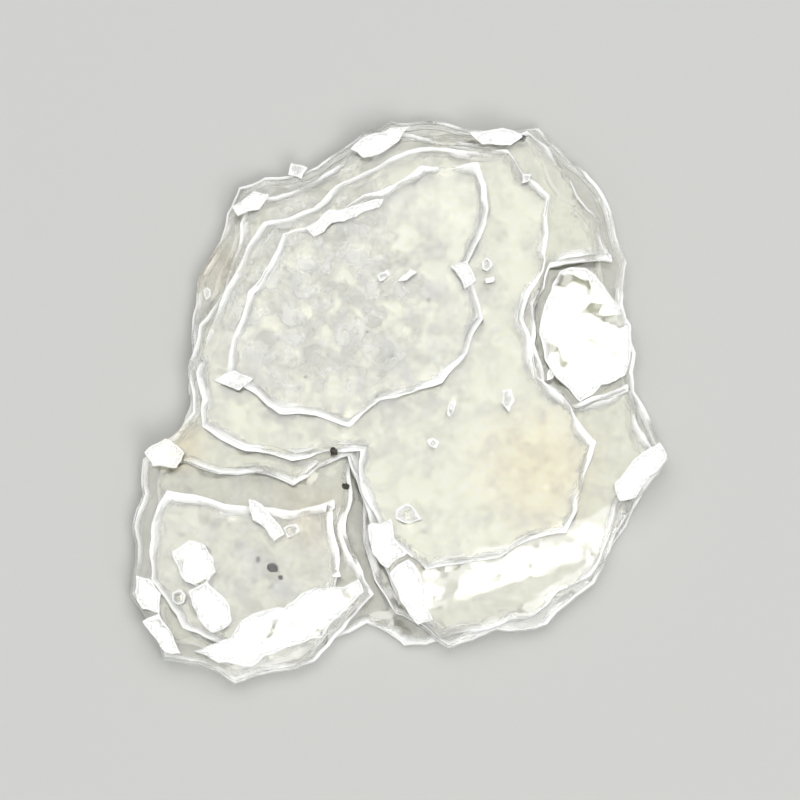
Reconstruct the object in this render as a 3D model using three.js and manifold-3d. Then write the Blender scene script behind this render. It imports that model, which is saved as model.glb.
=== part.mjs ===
import * as THREE from 'three';
import { mergeVertices } from 'three/addons/utils/BufferGeometryUtils.js';
import Module from 'manifold-3d';

// A cleavage book of muscovite mica, split off a larger crystal and lying on its flat cleavage face.
// X and Y run along the sheets and +Z across them. Lengths are in millimetres, angles in degrees.

const bookHeight = 1.0;
const sheetLap = 0.02;         // each sheet sinks this far into the one below, so they join as one solid
const breakReach = 1.5;        // how far a break's cutting block reaches upwards
const pearlColour = 0xd4cfb7;

// Share of the height at which each run of sheets ends, from the foot to the top leaf.
const footTop = 0.3 * bookHeight;
const plateTop = 0.58 * bookHeight;
const blockTop = 0.77 * bookHeight;
const leafTop = 0.9 * bookHeight;

// Each run of sheets ends in its own stepped outline, given by its corners.
const sheets = [
  {
    low: 0,
    high: footTop,
    corners: [
      [-1.85, 2.5], [-0.7, 2.9], [0.0, 3.3], [1.6, 3.25], [2.4, 2.2], [2.65, 0.8], [3.05, -0.8], [2.3, -2.2],
      [1.6, -2.7], [0.55, -2.95], [0.0, -3.0], [-0.45, -2.75], [-1.2, -3.15], [-2.0, -3.35], [-2.8, -3.0],
      [-3.1, -2.2], [-3.0, -1.0], [-2.6, -0.2], [-2.45, 0.9], [-2.1, 1.8],
    ],
  },
  {
    // The broadest run, with the side lobe and the mouth of the crack that sets it off.
    low: footTop - sheetLap,
    high: plateTop,
    corners: [
      [-2.0, 2.6], [-0.75, 3.1], [-0.1, 3.45], [1.7, 3.4], [2.15, 2.95], [2.65, 2.3], [2.8, 1.0],
      [3.3, -0.8], [2.8, -1.5], [2.4, -2.3], [1.8, -2.8], [0.6, -3.1], [-0.1, -2.7], [-0.66, -0.9],
      [-0.3, -2.45], [-1.1, -3.3], [-2.0, -3.5], [-2.9, -3.2], [-3.3, -2.4], [-3.2, -0.8], [-2.75, -0.35],
      [-2.6, 0.9], [-2.2, 1.9],
    ],
  },
  {
    // The main block ends along the crack and leaves the lobe a step lower.
    low: plateTop - sheetLap,
    high: blockTop,
    corners: [
      [-1.9, 2.45], [-0.7, 2.95], [-0.05, 3.3], [1.6, 3.28], [2.0, 2.85], [2.5, 2.2], [2.7, 1.0],
      [3.1, -0.65], [2.7, -1.4], [2.3, -2.2], [1.7, -2.7], [0.5, -3.0], [0.05, -2.6], [-0.35, -1.9],
      [-0.62, -0.8], [-1.3, -1.15], [-2.2, -0.95], [-3.05, -0.75], [-2.6, -0.2], [-2.45, 0.9], [-2.0, 1.8],
    ],
  },
  {
    low: blockTop - sheetLap,
    high: leafTop,
    corners: [
      [-1.65, 2.15], [-0.55, 2.68], [0.1, 3.05], [1.35, 3.0], [1.8, 2.5], [1.95, 1.5], [2.05, 0.4],
      [2.4, -0.6], [2.05, -1.7], [1.2, -2.0], [0.3, -2.15], [-0.2, -1.7], [-0.5, -0.7], [-1.3, -0.85],
      [-2.45, -0.4], [-2.25, 0.9], [-1.9, 1.7],
    ],
  },
  {
    // The top leaf is left only over the upper corner of the book.
    low: leafTop - sheetLap,
    high: bookHeight,
    corners: [
      [-1.4, 1.95], [-0.4, 2.4], [0.3, 2.85], [1.0, 2.8], [1.1, 2.3], [0.85, 1.6], [1.0, 0.9],
      [0.5, 0.1], [-0.2, -0.1], [-0.6, -0.45], [-1.5, -0.3], [-2.05, 0.1], [-1.9, 1.2],
    ],
  },
];

// Sloping breaks across the sheets: where each starts, the way it faces, how steep it is, how far it runs
// outwards and how wide it is.
const breaks = [
  { start: [1.5, -1.85, leafTop], faces: -64, slope: 12, run: 2.0, width: 4.0 },
  { start: [1.93, 1.39, leafTop], faces: -62, slope: 14, run: 1.5, width: 1.2 },
  { start: [2.76, -0.55, blockTop], faces: -62, slope: 14, run: 1.2, width: 0.7 },
  { start: [-1.8, -2.92, plateTop], faces: -60, slope: 14, run: 1.2, width: 2.4 },
  { start: [-3.0, -2.05, plateTop], faces: -62, slope: 14, run: 1.3, width: 1.2 },
];

const wasm = await Module();
wasm.setup();

function toSolid(geometry) {
  geometry.deleteAttribute('normal');
  geometry.deleteAttribute('uv');
  const merged = mergeVertices(geometry);
  const vertProperties = new Float32Array(merged.attributes.position.array);
  const triVerts = new Uint32Array(merged.index.array);
  return new wasm.Manifold(new wasm.Mesh({ numProp: 3, vertProperties, triVerts }));
}

function toGeometry(solid) {
  const mesh = solid.getMesh();
  const geometry = new THREE.BufferGeometry();
  geometry.setAttribute('position', new THREE.BufferAttribute(mesh.vertProperties, 3));
  geometry.setIndex(new THREE.BufferAttribute(mesh.triVerts, 1));
  geometry.computeVertexNormals();
  return geometry;
}

function sheetSolid({ low, high, corners }) {
  const outline = new THREE.Shape(corners.map(([x, y]) => new THREE.Vector2(x, y)));
  const geometry = new THREE.ExtrudeGeometry(outline, { depth: high - low, bevelEnabled: false });
  geometry.translate(0, 0, low);
  return toSolid(geometry);
}

// A block whose lower face is the break: it starts on a level line and falls away outwards.
function breakSolid({ start, faces, slope, run, width }) {
  const geometry = new THREE.BoxGeometry(run, width, breakReach);
  geometry.translate(run / 2, 0, breakReach / 2);
  geometry.rotateY(THREE.MathUtils.degToRad(slope));
  geometry.rotateZ(THREE.MathUtils.degToRad(faces));
  geometry.translate(...start);
  return toSolid(geometry);
}

let book = sheetSolid(sheets[0]);
for (const sheet of sheets.slice(1)) {
  book = book.add(sheetSolid(sheet));
}
for (const brokenFace of breaks) {
  book = book.subtract(breakSolid(brokenFace));
}

const muscovite = new THREE.MeshStandardMaterial({
  color: pearlColour,
  roughness: 0.15,
  metalness: 0,
  transparent: true,
  opacity: 0.7,
});
const crystal = new THREE.Mesh(toGeometry(book), muscovite);
crystal.name = 'mica_crystal';

// The origin lies on the flat underside, below the middle of the book.
const middle = new THREE.Box3().setFromObject(crystal).getCenter(new THREE.Vector3());
crystal.position.set(-middle.x, -middle.y, 0);

const group = new THREE.Group();
group.add(crystal);

export default group;
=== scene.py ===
import math
import random

import bpy
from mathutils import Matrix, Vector, kdtree, noise


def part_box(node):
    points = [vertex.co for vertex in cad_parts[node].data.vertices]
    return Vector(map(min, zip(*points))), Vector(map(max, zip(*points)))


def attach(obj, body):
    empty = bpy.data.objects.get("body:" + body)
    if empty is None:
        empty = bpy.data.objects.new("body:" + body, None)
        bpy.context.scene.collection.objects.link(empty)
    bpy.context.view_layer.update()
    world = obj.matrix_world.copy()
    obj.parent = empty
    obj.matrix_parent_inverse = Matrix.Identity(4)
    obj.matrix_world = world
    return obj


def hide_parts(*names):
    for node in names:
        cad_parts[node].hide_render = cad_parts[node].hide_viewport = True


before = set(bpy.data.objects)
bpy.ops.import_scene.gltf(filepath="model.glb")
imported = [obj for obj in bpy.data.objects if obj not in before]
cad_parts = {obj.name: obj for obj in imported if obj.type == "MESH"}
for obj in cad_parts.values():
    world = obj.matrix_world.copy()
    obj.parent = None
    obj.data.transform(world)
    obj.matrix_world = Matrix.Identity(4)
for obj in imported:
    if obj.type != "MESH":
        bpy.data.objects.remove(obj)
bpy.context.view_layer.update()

# A loose flake of muscovite mica: a book of thin cleavage sheets, seen from just off straight above.
# The sheets are modelled in millimetres, as on a bench, and brought to metres when they are finished.
mm = 0.001
node = "mica_crystal"
low, high = [[corner / mm for corner in point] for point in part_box(node)]
bookHeight = high[2] - low[2]
print("frame loaded, book", [round(high[i] - low[i], 2) for i in range(3)], "mm")


# ---- small helpers

def toLinear(hexColour):
    channels = [int(hexColour[i:i + 2], 16) / 255 for i in (1, 3, 5)]
    linear = [c / 12.92 if c <= 0.04045 else ((c + 0.055) / 1.055) ** 2.4 for c in channels]
    return (*linear, 1.0)


def pick(obj):
    bpy.ops.object.select_all(action="DESELECT")
    obj.select_set(True)
    bpy.context.view_layer.objects.active = obj


def smoothStep(value):
    t = min(1.0, max(0.0, value))
    return t * t * (3 - 2 * t)


def addNode(tree, kind, links=None, **settings):
    made = tree.nodes.new(kind)
    for key, value in settings.items():
        if hasattr(made, key):
            setattr(made, key, value)
        else:
            made.inputs[key.replace("_", " ")].default_value = value
    for socket, source in (links or {}).items():
        tree.links.new(source, made.inputs[socket])
    return made


def newMaterial(name):
    material = bpy.data.materials.new(name)
    material.use_nodes = True
    return material, material.node_tree.nodes["Principled BSDF"]


# ---- the sheets

sheetSettings = {
    "grid": 0.065,          # spacing of the modelling grid, and how far it reaches past the rim
    "margin": 0.2,
    "gap": 0.12,            # share of a sheet's pitch that has opened as air
    "wander": 0.05,         # how far corners differ from one sheet to the next
    "tooth": 0.13,          # shortest straight stretch of a broken rim
    "rough": 0.1,           # how far a rim strays from straight, for each millimetre of side
    "draft": 0.015,         # a broken rim leans in by up to this share of its reach
    "steps": 2,             # small steps near the top of each rim, where thin sheets end one by one
    "stepWidth": 0.045,
    "stepSlide": 0.04,      # how far a step is off centre, so that it is wide on one side
    "waves": 0.06,          # height of the broad waves and their size along the sheet
    "waveSize": 1.2,
    "crinkle": 0.03,        # height of the fine crinkles and their size
    "crinkleSize": 0.26,
    "rimWidth": 0.17,       # how far in the frayed rim reaches, at most
    "rimPatch": 0.35,       # length of rim over which that changes
    "smoothed": 35,         # edges less sharp than this many degrees are shaded smooth
}

# Outlines go clockwise, in millimetres from the middle of the book.
wholeOutline = [
    (-2.0, 2.6), (-0.75, 3.1), (-0.1, 3.45), (1.7, 3.4), (2.15, 2.95), (2.65, 2.3), (2.8, 1.0),
    (3.3, -0.8), (2.8, -1.5), (2.4, -2.3), (1.8, -2.8), (0.6, -3.1), (-0.1, -2.7), (-0.66, -0.9),
    (-0.3, -2.45), (-1.1, -3.3), (-2.0, -3.5), (-2.9, -3.2), (-3.3, -2.4), (-3.2, -0.8), (-2.75, -0.35),
    (-2.6, 0.9), (-2.2, 1.9),
]
footOutline = [
    (-1.85, 2.5), (-0.7, 2.9), (0.0, 3.3), (1.6, 3.25), (2.4, 2.2), (2.65, 0.8), (3.05, -0.8),
    (2.3, -2.2), (1.6, -2.7), (0.55, -2.95), (0.0, -3.0), (-0.45, -2.75), (-1.2, -3.15), (-2.0, -3.35),
    (-2.8, -3.0), (-3.1, -2.2), (-3.0, -1.0), (-2.6, -0.2), (-2.45, 0.9), (-2.1, 1.8),
]
blockOutline = [
    (-1.9, 2.45), (-0.7, 2.95), (-0.05, 3.3), (1.6, 3.28), (2.0, 2.85), (2.5, 2.2), (2.62, 1.66),
    (2.28, 1.64), (1.9, 1.6), (1.67, 1.04), (1.65, 0.6), (1.8, 0.18), (2.17, -0.17), (2.5, 0.03),
    (2.86, 0.14), (3.1, -0.65), (2.7, -1.4), (2.3, -2.2), (1.7, -2.7), (0.5, -3.0), (0.05, -2.6),
    (-0.35, -1.9), (-0.62, -0.8), (-1.3, -1.15), (-2.2, -0.95), (-3.05, -0.75), (-2.6, -0.2),
    (-2.45, 0.9), (-2.0, 1.8),
]
leafOutline = [
    (-1.65, 2.15), (-0.55, 2.68), (0.1, 3.05), (1.35, 3.0), (1.8, 2.5), (1.76, 1.5), (1.56, 0.9), (1.72, 0.2),
    (2.4, -0.6), (2.05, -1.7), (1.2, -2.0), (0.3, -2.15), (-0.2, -1.7), (-0.5, -0.7), (-1.3, -0.85),
    (-2.45, -0.4), (-2.25, 0.9), (-1.9, 1.7),
]
lobeOutline = [
    (-2.85, -1.15), (-2.1, -1.3), (-1.35, -1.4), (-0.85, -1.25), (-0.72, -1.9), (-0.78, -2.4), (-1.3, -2.95),
    (-2.0, -3.2), (-2.7, -2.9), (-3.05, -2.3), (-3.0, -1.6),
]
topOutline = [
    (-1.4, 1.95), (-0.4, 2.4), (0.3, 2.85), (1.0, 2.8), (1.1, 2.3), (0.85, 1.6), (1.0, 0.9),
    (0.5, 0.1), (-0.2, -0.1), (-0.6, -0.45), (-1.5, -0.3), (-2.05, 0.1), (-1.9, 1.2),
]

# Runs of sheets from the foot to the top leaf, with the shares of the book's height they fill.
runs = [
    {"piece": "footSheets", "from": 0.0, "to": 0.3, "sheets": 1, "outline": footOutline},
    {"piece": "plateSheets", "from": 0.3, "to": 0.58, "sheets": 1, "outline": wholeOutline},
    {"piece": "lobeSheets", "from": 0.58, "to": 0.66, "sheets": 1, "outline": lobeOutline},
    {"piece": "blockSheets", "from": 0.58, "to": 0.77, "sheets": 1, "outline": blockOutline},
    {"piece": "leafSheets", "from": 0.77, "to": 0.9, "sheets": 1, "outline": leafOutline},
    {"piece": "topSheets", "from": 0.9, "to": 1.0, "sheets": 1, "outline": topOutline},
]

# Sloping breaks and turned-down rims that face the light: where each starts, the way it faces and its slope
# in degrees, how far it runs outwards and to each side, and how far its top edge bows back at the sides.
bendSettings = {
    "soft": 0.04,           # how gently the slope starts, and over what width it ends at each side
    "side": 0.4,
    "deepest": 0.6,         # largest share of the height that is lost
    "trueAt": 0.85,         # share of the height at which a slope is as steep as given
}
bends = [
    {"start": (1.5, -1.75), "faces": -72, "slope": 14, "run": 0.45, "left": 2.1, "right": 1.6, "bow": 0.0},
    {"start": (1.95, -2.25), "faces": -60, "slope": 14, "run": 0.5, "left": 1.7, "right": 1.3, "bow": 0.0},
    {"start": (-1.45, -2.75), "faces": -60, "slope": 14, "run": 1.2, "left": 1.7, "right": 1.4, "bow": 0.3},
]


def breakRim(corners, tooth, rough, rng):
    # Each side of the outline strays from straight, and each half of it strays again, down to fine teeth.
    points = list(corners)
    while True:
        finer = []
        for start, end in zip(points, points[1:] + points[:1]):
            finer.append(start)
            length = math.dist(start, end)
            if length > tooth:
                stray = rng.uniform(-1, 1) * rough * math.sqrt(length)
                finer.append((
                    (start[0] + end[0]) / 2 - stray * (end[1] - start[1]),
                    (start[1] + end[1]) / 2 + stray * (end[0] - start[0]),
                ))
        if len(finer) == len(points):
            return points
        points = finer


def applyModifier(obj, kind, **settings):
    modifier = obj.modifiers.new(kind.title(), kind)
    for key, value in settings.items():
        setattr(modifier, key, value)
    bpy.ops.object.modifier_apply(modifier=modifier.name)


def addRimCutter(rim, level, tall, lean, steps, rng):
    # A plug with the sheet's outline, stepped in near its top and a little narrower where the rim leans in.
    bpy.ops.mesh.primitive_circle_add(vertices=len(rim), radius=1, fill_type="NGON")
    plug = bpy.context.object
    for vertex, (x, y) in zip(plug.data.vertices, rim):
        vertex.co = (x, y, level - tall)
    bpy.ops.object.mode_set(mode="EDIT")
    bpy.ops.mesh.select_mode(type="FACE")
    bpy.ops.mesh.select_all(action="SELECT")
    rise = tall / (steps + 1)
    bpy.ops.mesh.extrude_region_move(TRANSFORM_OT_translate={"value": (0, 0, tall + rise)})
    bpy.ops.transform.resize(value=(lean, lean, 1), center_override=(0, 0, level))
    for step in range(steps):
        slide = sheetSettings["stepSlide"]
        width = sheetSettings["stepWidth"] * rng.uniform(0.6, 1.4)
        bpy.ops.mesh.inset(thickness=width, use_even_offset=False)
        bpy.ops.transform.translate(value=(rng.uniform(-slide, slide), rng.uniform(-slide, slide), 0))
        bpy.ops.mesh.extrude_region_move(TRANSFORM_OT_translate={"value": (0, 0, rise * (1 + step))})
    bpy.ops.mesh.select_all(action="SELECT")
    bpy.ops.mesh.normals_make_consistent(inside=False)
    bpy.ops.object.mode_set(mode="OBJECT")
    return plug


def splitSheet(rim, level, thickness, lean, steps, rng):
    # A flat blank, fine enough to crinkle, trimmed to the broken outline.
    least = [min(point[i] for point in rim) - sheetSettings["margin"] for i in (0, 1)]
    most = [max(point[i] for point in rim) + sheetSettings["margin"] for i in (0, 1)]
    spans = [most[i] - least[i] for i in (0, 1)]
    counts = [max(3, round(span / sheetSettings["grid"])) for span in spans]
    bpy.ops.mesh.primitive_grid_add(
        x_subdivisions=counts[0], y_subdivisions=counts[1], size=1,
        location=((least[0] + most[0]) / 2, (least[1] + most[1]) / 2, level))
    sheet = bpy.context.object
    sheet.scale = (spans[0], spans[1], 1)
    bpy.ops.object.transform_apply(location=True, rotation=True, scale=True)
    applyModifier(sheet, "SOLIDIFY", thickness=thickness, offset=1)
    plug = addRimCutter(rim, level, thickness, lean, steps, rng)
    pick(sheet)
    applyModifier(sheet, "BOOLEAN", object=plug, operation="INTERSECT", solver="MANIFOLD")
    bpy.data.objects.remove(plug)
    return sheet


# Where the book is clouded by air between its sheets and where iron has stained it: middle, reach, strength.
clouded = [((-0.9, 1.2), 2.6, 1.0), ((-1.6, -1.9), 1.5, 0.5)]
stained = [
    ((-2.45, 1.7), 0.7, 0.8), ((1.7, -0.9), 1.1, 0.4), ((-1.1, -1.5), 0.8, 0.3), ((-2.7, -0.6), 0.5, 0.6),
]


def spotValue(x, y, spots):
    return max(
        strength * (1 - smoothStep(math.dist((x, y), middle) / reach)) for middle, reach, strength in spots)


def markRim(sheet, rim, rimWidth):
    # An attribute that is one along the broken rim and fades out inwards, over a width that varies.
    tree = kdtree.KDTree(4 * len(rim))
    for place, (start, end) in enumerate(zip(rim, rim[1:] + rim[:1])):
        for quarter in range(4):
            point = [start[i] + (end[i] - start[i]) * quarter / 4 for i in (0, 1)]
            tree.insert((*point, 0), 4 * place + quarter)
    tree.balance()
    values = {name: sheet.data.attributes.new(name, "FLOAT", "POINT") for name in ("rim", "cloud", "stain")}
    for vertex in sheet.data.vertices:
        x, y, z = vertex.co
        distance = tree.find((x, y, 0))[2]
        patch = noise.noise(Vector((x, y, 4 * z)) / sheetSettings["rimPatch"])
        width = rimWidth * (0.55 + 0.45 * max(-1, min(1, 2.2 * patch)))
        values["rim"].data[vertex.index].value = 1 - smoothStep((distance / width - 0.3) / 0.7)
        values["cloud"].data[vertex.index].value = spotValue(x, y, clouded)
        values["stain"].data[vertex.index].value = spotValue(x, y, stained)


def addCloud(name, size):
    cloud = bpy.data.textures.new(name, "CLOUDS")
    cloud.noise_scale = size
    cloud.noise_depth = 2
    return cloud


waveCloud = addCloud("waves", sheetSettings["waveSize"])
crinkleCloud = addCloud("crinkle", sheetSettings["crinkleSize"])


def crinkleSheet(sheet, share=1.0):
    for cloud, height in ((waveCloud, sheetSettings["waves"]), (crinkleCloud, sheetSettings["crinkle"])):
        applyModifier(
            sheet, "DISPLACE", texture=cloud, texture_coords="LOCAL", direction="Z", strength=share * height,
            mid_level=0.5)
    bpy.ops.object.shade_smooth_by_angle(angle=math.radians(sheetSettings["smoothed"]))


def pressedShare(x, y):
    # What is left of the height where a break slopes down, so that the tops of the sheets face the light.
    soft = bendSettings["soft"]
    drop = 0.0
    for bend in bends:
        angle = math.radians(bend["faces"])
        outward = (math.cos(angle), math.sin(angle))
        dx = x - bend["start"][0]
        dy = y - bend["start"][1]
        along = dx * -outward[1] + dy * outward[0]
        reach = bend["left"] if along < 0 else bend["right"]
        inside = smoothStep((reach - abs(along)) / bendSettings["side"])
        across = min(1.0, abs(along) / reach)
        beyond = dx * outward[0] + dy * outward[1] - bend["bow"] * (1 - math.sqrt(1 - across * across))
        rounded = soft * math.log1p(math.exp(min(40.0, beyond / soft)))
        drop += inside * min(rounded, bend["run"]) * math.tan(math.radians(bend["slope"]))
    return 1 - min(bendSettings["deepest"], drop / (bendSettings["trueAt"] * bookHeight))


def bendBook(mesh):
    for vertex in mesh.vertices:
        vertex.co.z *= pressedShare(vertex.co.x, vertex.co.y)


def joinPieces(pieces, name):
    pick(pieces[0])
    for piece in pieces[1:]:
        piece.select_set(True)
    if len(pieces) > 1:
        bpy.ops.object.join()
    joined = bpy.context.object
    joined.name = name
    return joined


def makeRun(run, rng):
    pitch = (run["to"] - run["from"]) * bookHeight / run["sheets"]
    wander = sheetSettings["wander"]
    sheets = []
    for step in range(run["sheets"]):
        corners = [(x + rng.uniform(-wander, wander), y + rng.uniform(-wander, wander))
                   for x, y in run["outline"]]
        level = run["from"] * bookHeight + step * pitch
        lean = 1 - rng.uniform(0.3, 1) * sheetSettings["draft"]
        rim = breakRim(corners, sheetSettings["tooth"], sheetSettings["rough"], rng)
        thickness = pitch * (1 - sheetSettings["gap"])
        sheet = splitSheet(rim, level, thickness, lean, sheetSettings["steps"], rng)
        markRim(sheet, rim, sheetSettings["rimWidth"])
        crinkleSheet(sheet)
        sheets.append(sheet)
    book = joinPieces(sheets, run["piece"])
    bendBook(book.data)
    return book


bookRng = random.Random(7)
bookPieces = [makeRun(run, bookRng) for run in runs]
print("sheets split", sum(len(piece.data.polygons) for piece in bookPieces), "faces")


# Thin leaves split half loose, most of them tipped towards the light.
leafSettings = {
    "thickness": 0.02,
    "air": 0.008,           # gap under each leaf
    "tooth": 0.06,          # shortest straight stretch of a side, and how far a side strays from straight
    "rough": 0.2,
    "rimWidth": 0.05,
    "lean": 0.999,          # a leaf is this much narrower at its top
    "crinkled": 1.1,        # how crinkled a leaf is, as a share of the sheets
    "tip": 14,              # degrees, and for the leaf in the notch
    "notchTip": 12,
    "sunk": 0.07,           # how far the leaf on the lobe's slope is let down into it
    "faces": -62,           # the way a tipped leaf slopes down
    "count": 18,            # small scattered fragments
    "reach": (0.06, 0.18),
    "tipped": 0.6,          # share of the fragments that are tipped, and how far their way varies
    "varies": 30,
}
# The larger leaves, each given by its corners: one in the notch of the block, one on the slope of the lobe,
# and the rest.
notchLeaf = [
    (1.74, 1.01), (1.94, 1.48), (2.26, 1.53), (2.48, 1.33), (2.73, 1.03), (2.82, 0.66), (2.74, 0.24),
    (2.46, 0.13), (2.2, -0.08), (1.88, 0.24), (1.73, 0.63),
]
slopeLeaf = [
    (-2.04, -2.95), (-1.4, -2.6), (-0.88, -2.36), (-0.5, -2.25), (-0.44, -2.4), (-0.95, -2.95), (-1.45, -3.1),
    (-2.2, -3.26), (-2.5, -3.12),
]
leaves = [
    [(-2.76, -1.92), (-2.55, -1.78), (-2.36, -1.84), (-2.23, -2.16), (-2.4, -2.36), (-2.6, -2.28)],
    [(-2.56, -2.4), (-2.34, -2.28), (-2.16, -2.44), (-2.04, -2.76), (-2.26, -2.9), (-2.44, -2.72)],
    [(-3.2, -2.2), (-3.04, -2.24), (-2.9, -2.42), (-2.92, -2.66), (-3.13, -2.6)],
    [(-3.12, -2.76), (-2.92, -2.66), (-2.78, -2.88), (-2.66, -3.14), (-2.86, -3.12), (-2.98, -2.94)],
    [(-1.84, -1.28), (-1.68, -1.34), (-1.4, -1.7), (-1.52, -1.78), (-1.79, -1.53)],
    [(-0.38, -1.6), (-0.11, -1.53), (0.08, -1.95), (-0.14, -2.12), (-0.33, -1.95)],
    [(-0.12, -2.18), (0.1, -2.02), (0.4, -2.74), (0.22, -2.8)],
    [(-1.15, 2.0), (-0.5, 2.29), (-0.2, 2.36), (-0.25, 2.26), (-0.55, 2.14), (-1.05, 1.9)],
    [(2.6, -1.09), (2.9, -0.76), (3.15, -0.6), (3.24, -0.76), (2.86, -1.26), (2.66, -1.3)],
    [(-0.6, 3.0), (-0.12, 3.26), (0.12, 3.28), (0.0, 3.12), (-0.45, 2.9)],
    [(0.85, 3.2), (1.25, 3.26), (1.5, 3.16), (1.35, 3.05), (1.0, 3.06)],
    [(-2.05, 2.3), (-1.78, 2.48), (-1.6, 2.44), (-1.72, 2.26), (-1.98, 2.18)],
    [(-3.1, -0.72), (-2.85, -0.55), (-2.62, -0.72), (-2.72, -0.9), (-3.0, -0.88)],
    [(0.62, 1.52), (0.82, 1.6), (0.92, 1.36), (0.78, 1.26)],
    [(-2.25, 0.14), (-2.0, 0.26), (-1.78, 0.16), (-1.95, 0.02)],
]


def insideOutline(x, y, outline):
    inside = False
    for (ax, ay), (bx, by) in zip(outline, outline[1:] + outline[:1]):
        if (ay > y) != (by > y) and x < ax + (y - ay) * (bx - ax) / (by - ay):
            inside = not inside
    return inside


def treadUnder(x, y):
    # Height of the highest sheet whose outline holds the point.
    share = 1 - sheetSettings["gap"]
    tops = [run["from"] + share * (run["to"] - run["from"]) for run in runs
            if insideOutline(x, y, run["outline"])]
    return max(tops, default=0.0) * bookHeight


def tipLeaf(leaf, underside, middle, rim, tip, faces, sunk):
    # What is above the underside slopes down towards the light. The rest lies on the tread, which makes the
    # lower of two layers a wedge.
    faces = math.radians(faces)
    outward = (math.cos(faces), math.sin(faces))
    hinge = max(x * outward[0] + y * outward[1] for x, y in rim)
    for vertex in leaf.data.vertices:
        x, y, z = vertex.co
        lying = z * pressedShare(x, y)
        above = (hinge - x * outward[0] - y * outward[1]) * math.tan(math.radians(tip))
        raised = max(lying, z * pressedShare(*middle) + above - sunk)
        vertex.co.z = lying if z < underside else raised


def addLeaf(corners, tip, faces, rng, sunk=0.0):
    # A thin fragment with ragged sides, on the tread under its middle. A tipped one lies on a wedge.
    middle = [sum(corner[i] for corner in corners) / len(corners) for i in (0, 1)]
    rim = breakRim(corners, leafSettings["tooth"], leafSettings["rough"], rng)
    thickness = leafSettings["thickness"]
    level = treadUnder(*middle) + leafSettings["air"]
    parts = []
    for layer in range(2 if tip else 1):
        foot = level + layer * (thickness + leafSettings["air"])
        part = splitSheet(rim, foot, thickness, leafSettings["lean"], 0, rng)
        tipLeaf(part, level + thickness / 2, middle, rim, tip, faces, sunk)
        markRim(part, rim, leafSettings["rimWidth"])
        crinkleSheet(part, leafSettings["crinkled"])
        parts.append(part)
    return joinPieces(parts, "leaf")


def fragmentCorners(middle, reach, rng):
    sides = rng.randint(4, 6)
    turn = rng.uniform(0, math.tau)
    slim = rng.uniform(0.35, 0.9)
    corners = []
    for side in range(sides):
        angle = (side + rng.uniform(-0.3, 0.3)) * math.tau / sides
        length = reach * rng.uniform(0.6, 1)
        ahead, beside = length * math.cos(angle), length * slim * math.sin(angle)
        corners.append((
            middle[0] + ahead * math.cos(turn) - beside * math.sin(turn),
            middle[1] + ahead * math.sin(turn) + beside * math.cos(turn),
        ))
    return corners


def makeLeaves():
    rng = random.Random(11)
    made = [addLeaf(corners, leafSettings["tip"], leafSettings["faces"], rng) for corners in leaves]
    made.append(addLeaf(notchLeaf, leafSettings["notchTip"], leafSettings["faces"], rng))
    made.append(addLeaf(slopeLeaf, leafSettings["tip"], leafSettings["faces"], rng, leafSettings["sunk"]))
    while len(made) < len(leaves) + 2 + leafSettings["count"]:
        middle = (rng.uniform(-3.1, 3.1), rng.uniform(-3.3, 3.3))
        corners = fragmentCorners(middle, rng.uniform(*leafSettings["reach"]), rng)
        tip = leafSettings["tip"] if rng.random() < leafSettings["tipped"] else 0
        faces = leafSettings["faces"] + rng.uniform(-1, 1) * leafSettings["varies"]
        if all(insideOutline(x, y, wholeOutline) for x, y in corners):
            made.append(addLeaf(corners, tip, faces, rng))
    return joinPieces(made, "looseLeaves")


bookPieces.append(makeLeaves())
print("loose leaves split", len(bookPieces[-1].data.polygons), "faces")


# Dark grains sealed in the book: middle, reach and how deep under the top they lie.
specks = [
    {"middle": (-0.8, -0.7), "reach": 0.055, "under": 0.05},
    {"middle": (-0.66, -1.1), "reach": 0.05, "under": 0.04},
    {"middle": (-1.55, -2.1), "reach": 0.07, "under": 0.045},
    {"middle": (-1.72, -2.0), "reach": 0.04, "under": 0.045},
    {"middle": (-1.45, -2.22), "reach": 0.03, "under": 0.04},
    {"middle": (1.5, 3.15), "reach": 0.045, "under": 0.05},
    {"middle": (0.35, 1.15), "reach": 0.03, "under": 0.12},
    {"middle": (-0.4, 0.75), "reach": 0.025, "under": 0.16},
    {"middle": (-1.15, 0.2), "reach": 0.02, "under": 0.14},
]


def makeSpecks():
    rng = random.Random(5)
    grains = []
    for speck in specks:
        x, y = speck["middle"]
        height = treadUnder(x, y) * pressedShare(x, y) - speck["under"]
        bpy.ops.mesh.primitive_ico_sphere_add(subdivisions=2, radius=speck["reach"], location=(x, y, height))
        grain = bpy.context.object
        grain.scale = (1, rng.uniform(0.6, 0.9), 0.35)
        grain.rotation_euler.z = rng.uniform(0, math.pi)
        bpy.ops.object.transform_apply(location=True, rotation=True, scale=True)
        bpy.ops.object.mode_set(mode="EDIT")
        bpy.ops.mesh.select_all(action="SELECT")
        bpy.ops.transform.vertex_random(offset=0.2 * speck["reach"], seed=len(grains))
        bpy.ops.object.mode_set(mode="OBJECT")
        grains.append(grain)
    return joinPieces(grains, "darkSpecks")


speckPiece = makeSpecks()


def fitToFrame(pieces, sealed):
    # The finished book is eased to the frame's box and brought from millimetres to metres.
    points = [vertex.co for piece in pieces for vertex in piece.data.vertices]
    least = [min(point[i] for point in points) for i in range(3)]
    most = [max(point[i] for point in points) for i in range(3)]
    print("book before fitting", [round(most[i] - least[i], 3) for i in range(3)])
    for piece in pieces + sealed:
        for vertex in piece.data.vertices:
            for i in range(3):
                part = (vertex.co[i] - least[i]) / (most[i] - least[i])
                vertex.co[i] = (low[i] + part * (high[i] - low[i])) * mm


fitToFrame(bookPieces, [speckPiece])


# ---- materials

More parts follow.
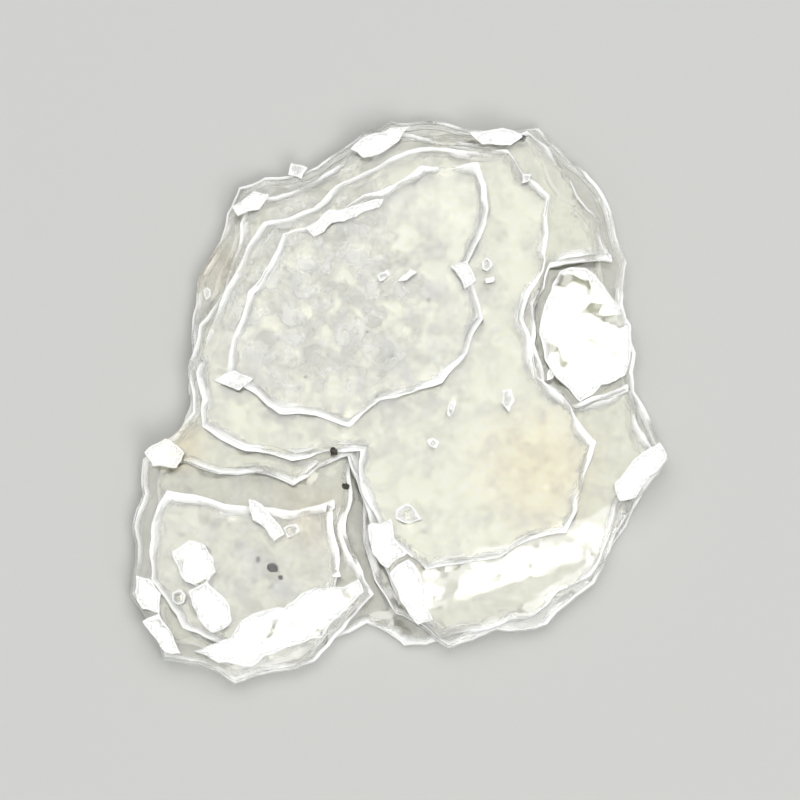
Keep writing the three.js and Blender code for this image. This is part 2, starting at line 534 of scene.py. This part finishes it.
def makeMuscovite():
    # Muscovite, split along its cleavage: clear sheets, glassy on top, greyish where air has got between
    # them, white along the broken rims, pale straw through the thickness and faintly rusty in places.
    material, shader = newMaterial("muscovite")
    tree = material.node_tree
    place = addNode(tree, "ShaderNodeTexCoord").outputs["Object"]
    stretch = addNode(tree, "ShaderNodeMapping", {"Vector": place}, Scale=(1, 1, 6))
    patches = addNode(
        tree, "ShaderNodeTexNoise", {"Vector": stretch.outputs[0]}, Scale=1 / (0.26 * mm), Detail=1.0,
        Roughness=0.7)
    flaws = addNode(
        tree, "ShaderNodeMapRange", {"Value": patches.outputs["Fac"]}, From_Min=0.44, From_Max=0.66,
        To_Min=0.0, To_Max=0.4)
    cloud = addNode(tree, "ShaderNodeAttribute", attribute_name="cloud")
    cloudy = addNode(tree, "ShaderNodeMapRange", {"Value": cloud.outputs["Fac"]}, To_Min=0.25, To_Max=1.0)
    films = addNode(
        tree, "ShaderNodeMath", {0: flaws.outputs[0], 1: cloudy.outputs[0]}, operation="MULTIPLY")
    upright = addNode(tree, "ShaderNodeSeparateXYZ", {0: addNode(tree, "ShaderNodeNewGeometry").outputs[1]})
    level = addNode(tree, "ShaderNodeMath", {0: upright.outputs["Z"]}, operation="ABSOLUTE")
    broken = addNode(
        tree, "ShaderNodeMapRange", {"Value": level.outputs[0]}, From_Min=0.8, From_Max=0.55,
        To_Min=0.0, To_Max=0.85)
    rim = addNode(tree, "ShaderNodeAttribute", attribute_name="rim")
    milky = addNode(
        tree, "ShaderNodeMath", {0: films.outputs[0], 1: broken.outputs[0]}, operation="MAXIMUM")
    haze = addNode(tree, "ShaderNodeMath", {0: milky.outputs[0], 1: rim.outputs["Fac"]}, operation="MAXIMUM")
    clear = addNode(tree, "ShaderNodeMath", {1: haze.outputs[0]}, operation="SUBTRACT", use_clamp=True)
    clear.inputs[0].default_value = 1.0
    rough = addNode(
        tree, "ShaderNodeMapRange", {"Value": haze.outputs[0]}, To_Min=0.03, To_Max=0.4)
    stain = addNode(tree, "ShaderNodeAttribute", attribute_name="stain")
    rusty = addNode(
        tree, "ShaderNodeMath", {0: stain.outputs["Fac"], 1: patches.outputs["Fac"]}, operation="MULTIPLY")
    tinted = addNode(tree, "ShaderNodeMix", {0: rusty.outputs[0]}, data_type="RGBA")
    tinted.inputs[6].default_value = toLinear("#fffffc")
    tinted.inputs[7].default_value = toLinear("#fdf0cf")
    wrinkle = addNode(
        tree, "ShaderNodeTexNoise", {"Vector": place}, Scale=1 / (0.16 * mm), Detail=0.0)
    bump = addNode(
        tree, "ShaderNodeBump", {"Height": wrinkle.outputs["Fac"]}, Strength=0.7, Distance=0.009 * mm)
    shader.inputs["IOR"].default_value = 1.58
    tree.links.new(tinted.outputs[2], shader.inputs["Base Color"])
    tree.links.new(clear.outputs[0], shader.inputs["Transmission Weight"])
    tree.links.new(rough.outputs[0], shader.inputs["Roughness"])
    tree.links.new(bump.outputs[0], shader.inputs["Normal"])
    tint = addNode(tree, "ShaderNodeVolumeAbsorption", Color=toLinear("#fbfae6"), Density=1300.0)
    tree.links.new(tint.outputs[0], tree.nodes["Material Output"].inputs["Volume"])
    return material


def makeBiotite():
    # Specks of dark mica and iron ore sealed in the book: brown black with a dull shine.
    material, shader = newMaterial("biotite")
    tree = material.node_tree
    place = addNode(tree, "ShaderNodeTexCoord").outputs["Object"]
    grain = addNode(tree, "ShaderNodeTexNoise", {"Vector": place}, Scale=1 / (0.03 * mm), Detail=2.0)
    shade = addNode(tree, "ShaderNodeValToRGB", {"Fac": grain.outputs["Fac"]})
    shade.color_ramp.elements[0].position = 0.35
    shade.color_ramp.elements[0].color = toLinear("#1d1a13")
    shade.color_ramp.elements[1].position = 0.7
    shade.color_ramp.elements[1].color = toLinear("#4a4433")
    tree.links.new(shade.outputs["Color"], shader.inputs["Base Color"])
    shader.inputs["Roughness"].default_value = 0.45
    return material


def makeBench():
    # Matt card, pale and plain.
    material, shader = newMaterial("matt white card")
    shader.inputs["Base Color"].default_value = toLinear("#cdcdc9")
    shader.inputs["Roughness"].default_value = 0.9
    return material


muscovite = makeMuscovite()
for piece in bookPieces:
    piece.data.materials.clear()
    piece.data.materials.append(muscovite)
    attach(piece, "root")
    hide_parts(node)
speckPiece.data.materials.append(makeBiotite())
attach(speckPiece, "root")
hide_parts(node)


# ---- bench, light and camera

bench = {"side": 400 * mm}
bpy.ops.mesh.primitive_plane_add(size=bench["side"], location=(0, 0, low[2] * mm))
floor = bpy.context.object
floor.name = "bench"
bpy.ops.object.transform_apply(location=True, rotation=True, scale=True)
floor.data.materials.append(makeBench())

target = Vector((0, 0, 0.4 * bookHeight * mm))


def placeAround(turn, lift, distance):
    # turn 0 is along +X, lift is the height above the bench in degrees
    turn, lift = math.radians(turn), math.radians(lift)
    across = math.cos(lift)
    return target + distance * Vector((math.cos(turn) * across, math.sin(turn) * across, math.sin(lift)))


def addSoftbox(name, turn, lift, distance, side, radiance):
    data = bpy.data.lights.new(name, "AREA")
    data.shape = "DISK"
    data.size = side
    data.energy = radiance * math.pi * math.pi * side * side / 4
    lamp = bpy.data.objects.new(name, data)
    bpy.context.scene.collection.objects.link(lamp)
    lamp.location = placeAround(turn, lift, distance)
    lamp.rotation_euler = (target - lamp.location).to_track_quat("-Z", "Y").to_euler()


addSoftbox("keyLight", turn=-58, lift=68, distance=120 * mm, side=58 * mm, radiance=6.6)
addSoftbox("topLight", turn=90, lift=76, distance=140 * mm, side=112 * mm, radiance=2.85)

world = bpy.data.worlds.new("studio")
world.use_nodes = True
world.node_tree.nodes["Background"].inputs["Color"].default_value = toLinear("#f2f5f8")
world.node_tree.nodes["Background"].inputs["Strength"].default_value = 0.38
scene = bpy.context.scene
scene.world = world

view = {"lean": 6.0, "distance": 60 * mm, "field": 9.8 * mm}
camera = bpy.data.objects.new("camera", bpy.data.cameras.new("camera"))
scene.collection.objects.link(camera)
camera.location = placeAround(-90, 90 - view["lean"], view["distance"])
camera.rotation_euler = (math.radians(view["lean"]), 0, 0)
camera.data.sensor_width = 36
camera.data.lens = camera.data.sensor_width * view["distance"] / view["field"]
camera.data.clip_start = 1 * mm
scene.camera = camera

scene.view_settings.view_transform = "Standard"
scene.cycles.max_bounces = 18          # light passes many sheets
scene.cycles.transmission_bounces = 18
scene.cycles.glossy_bounces = 16
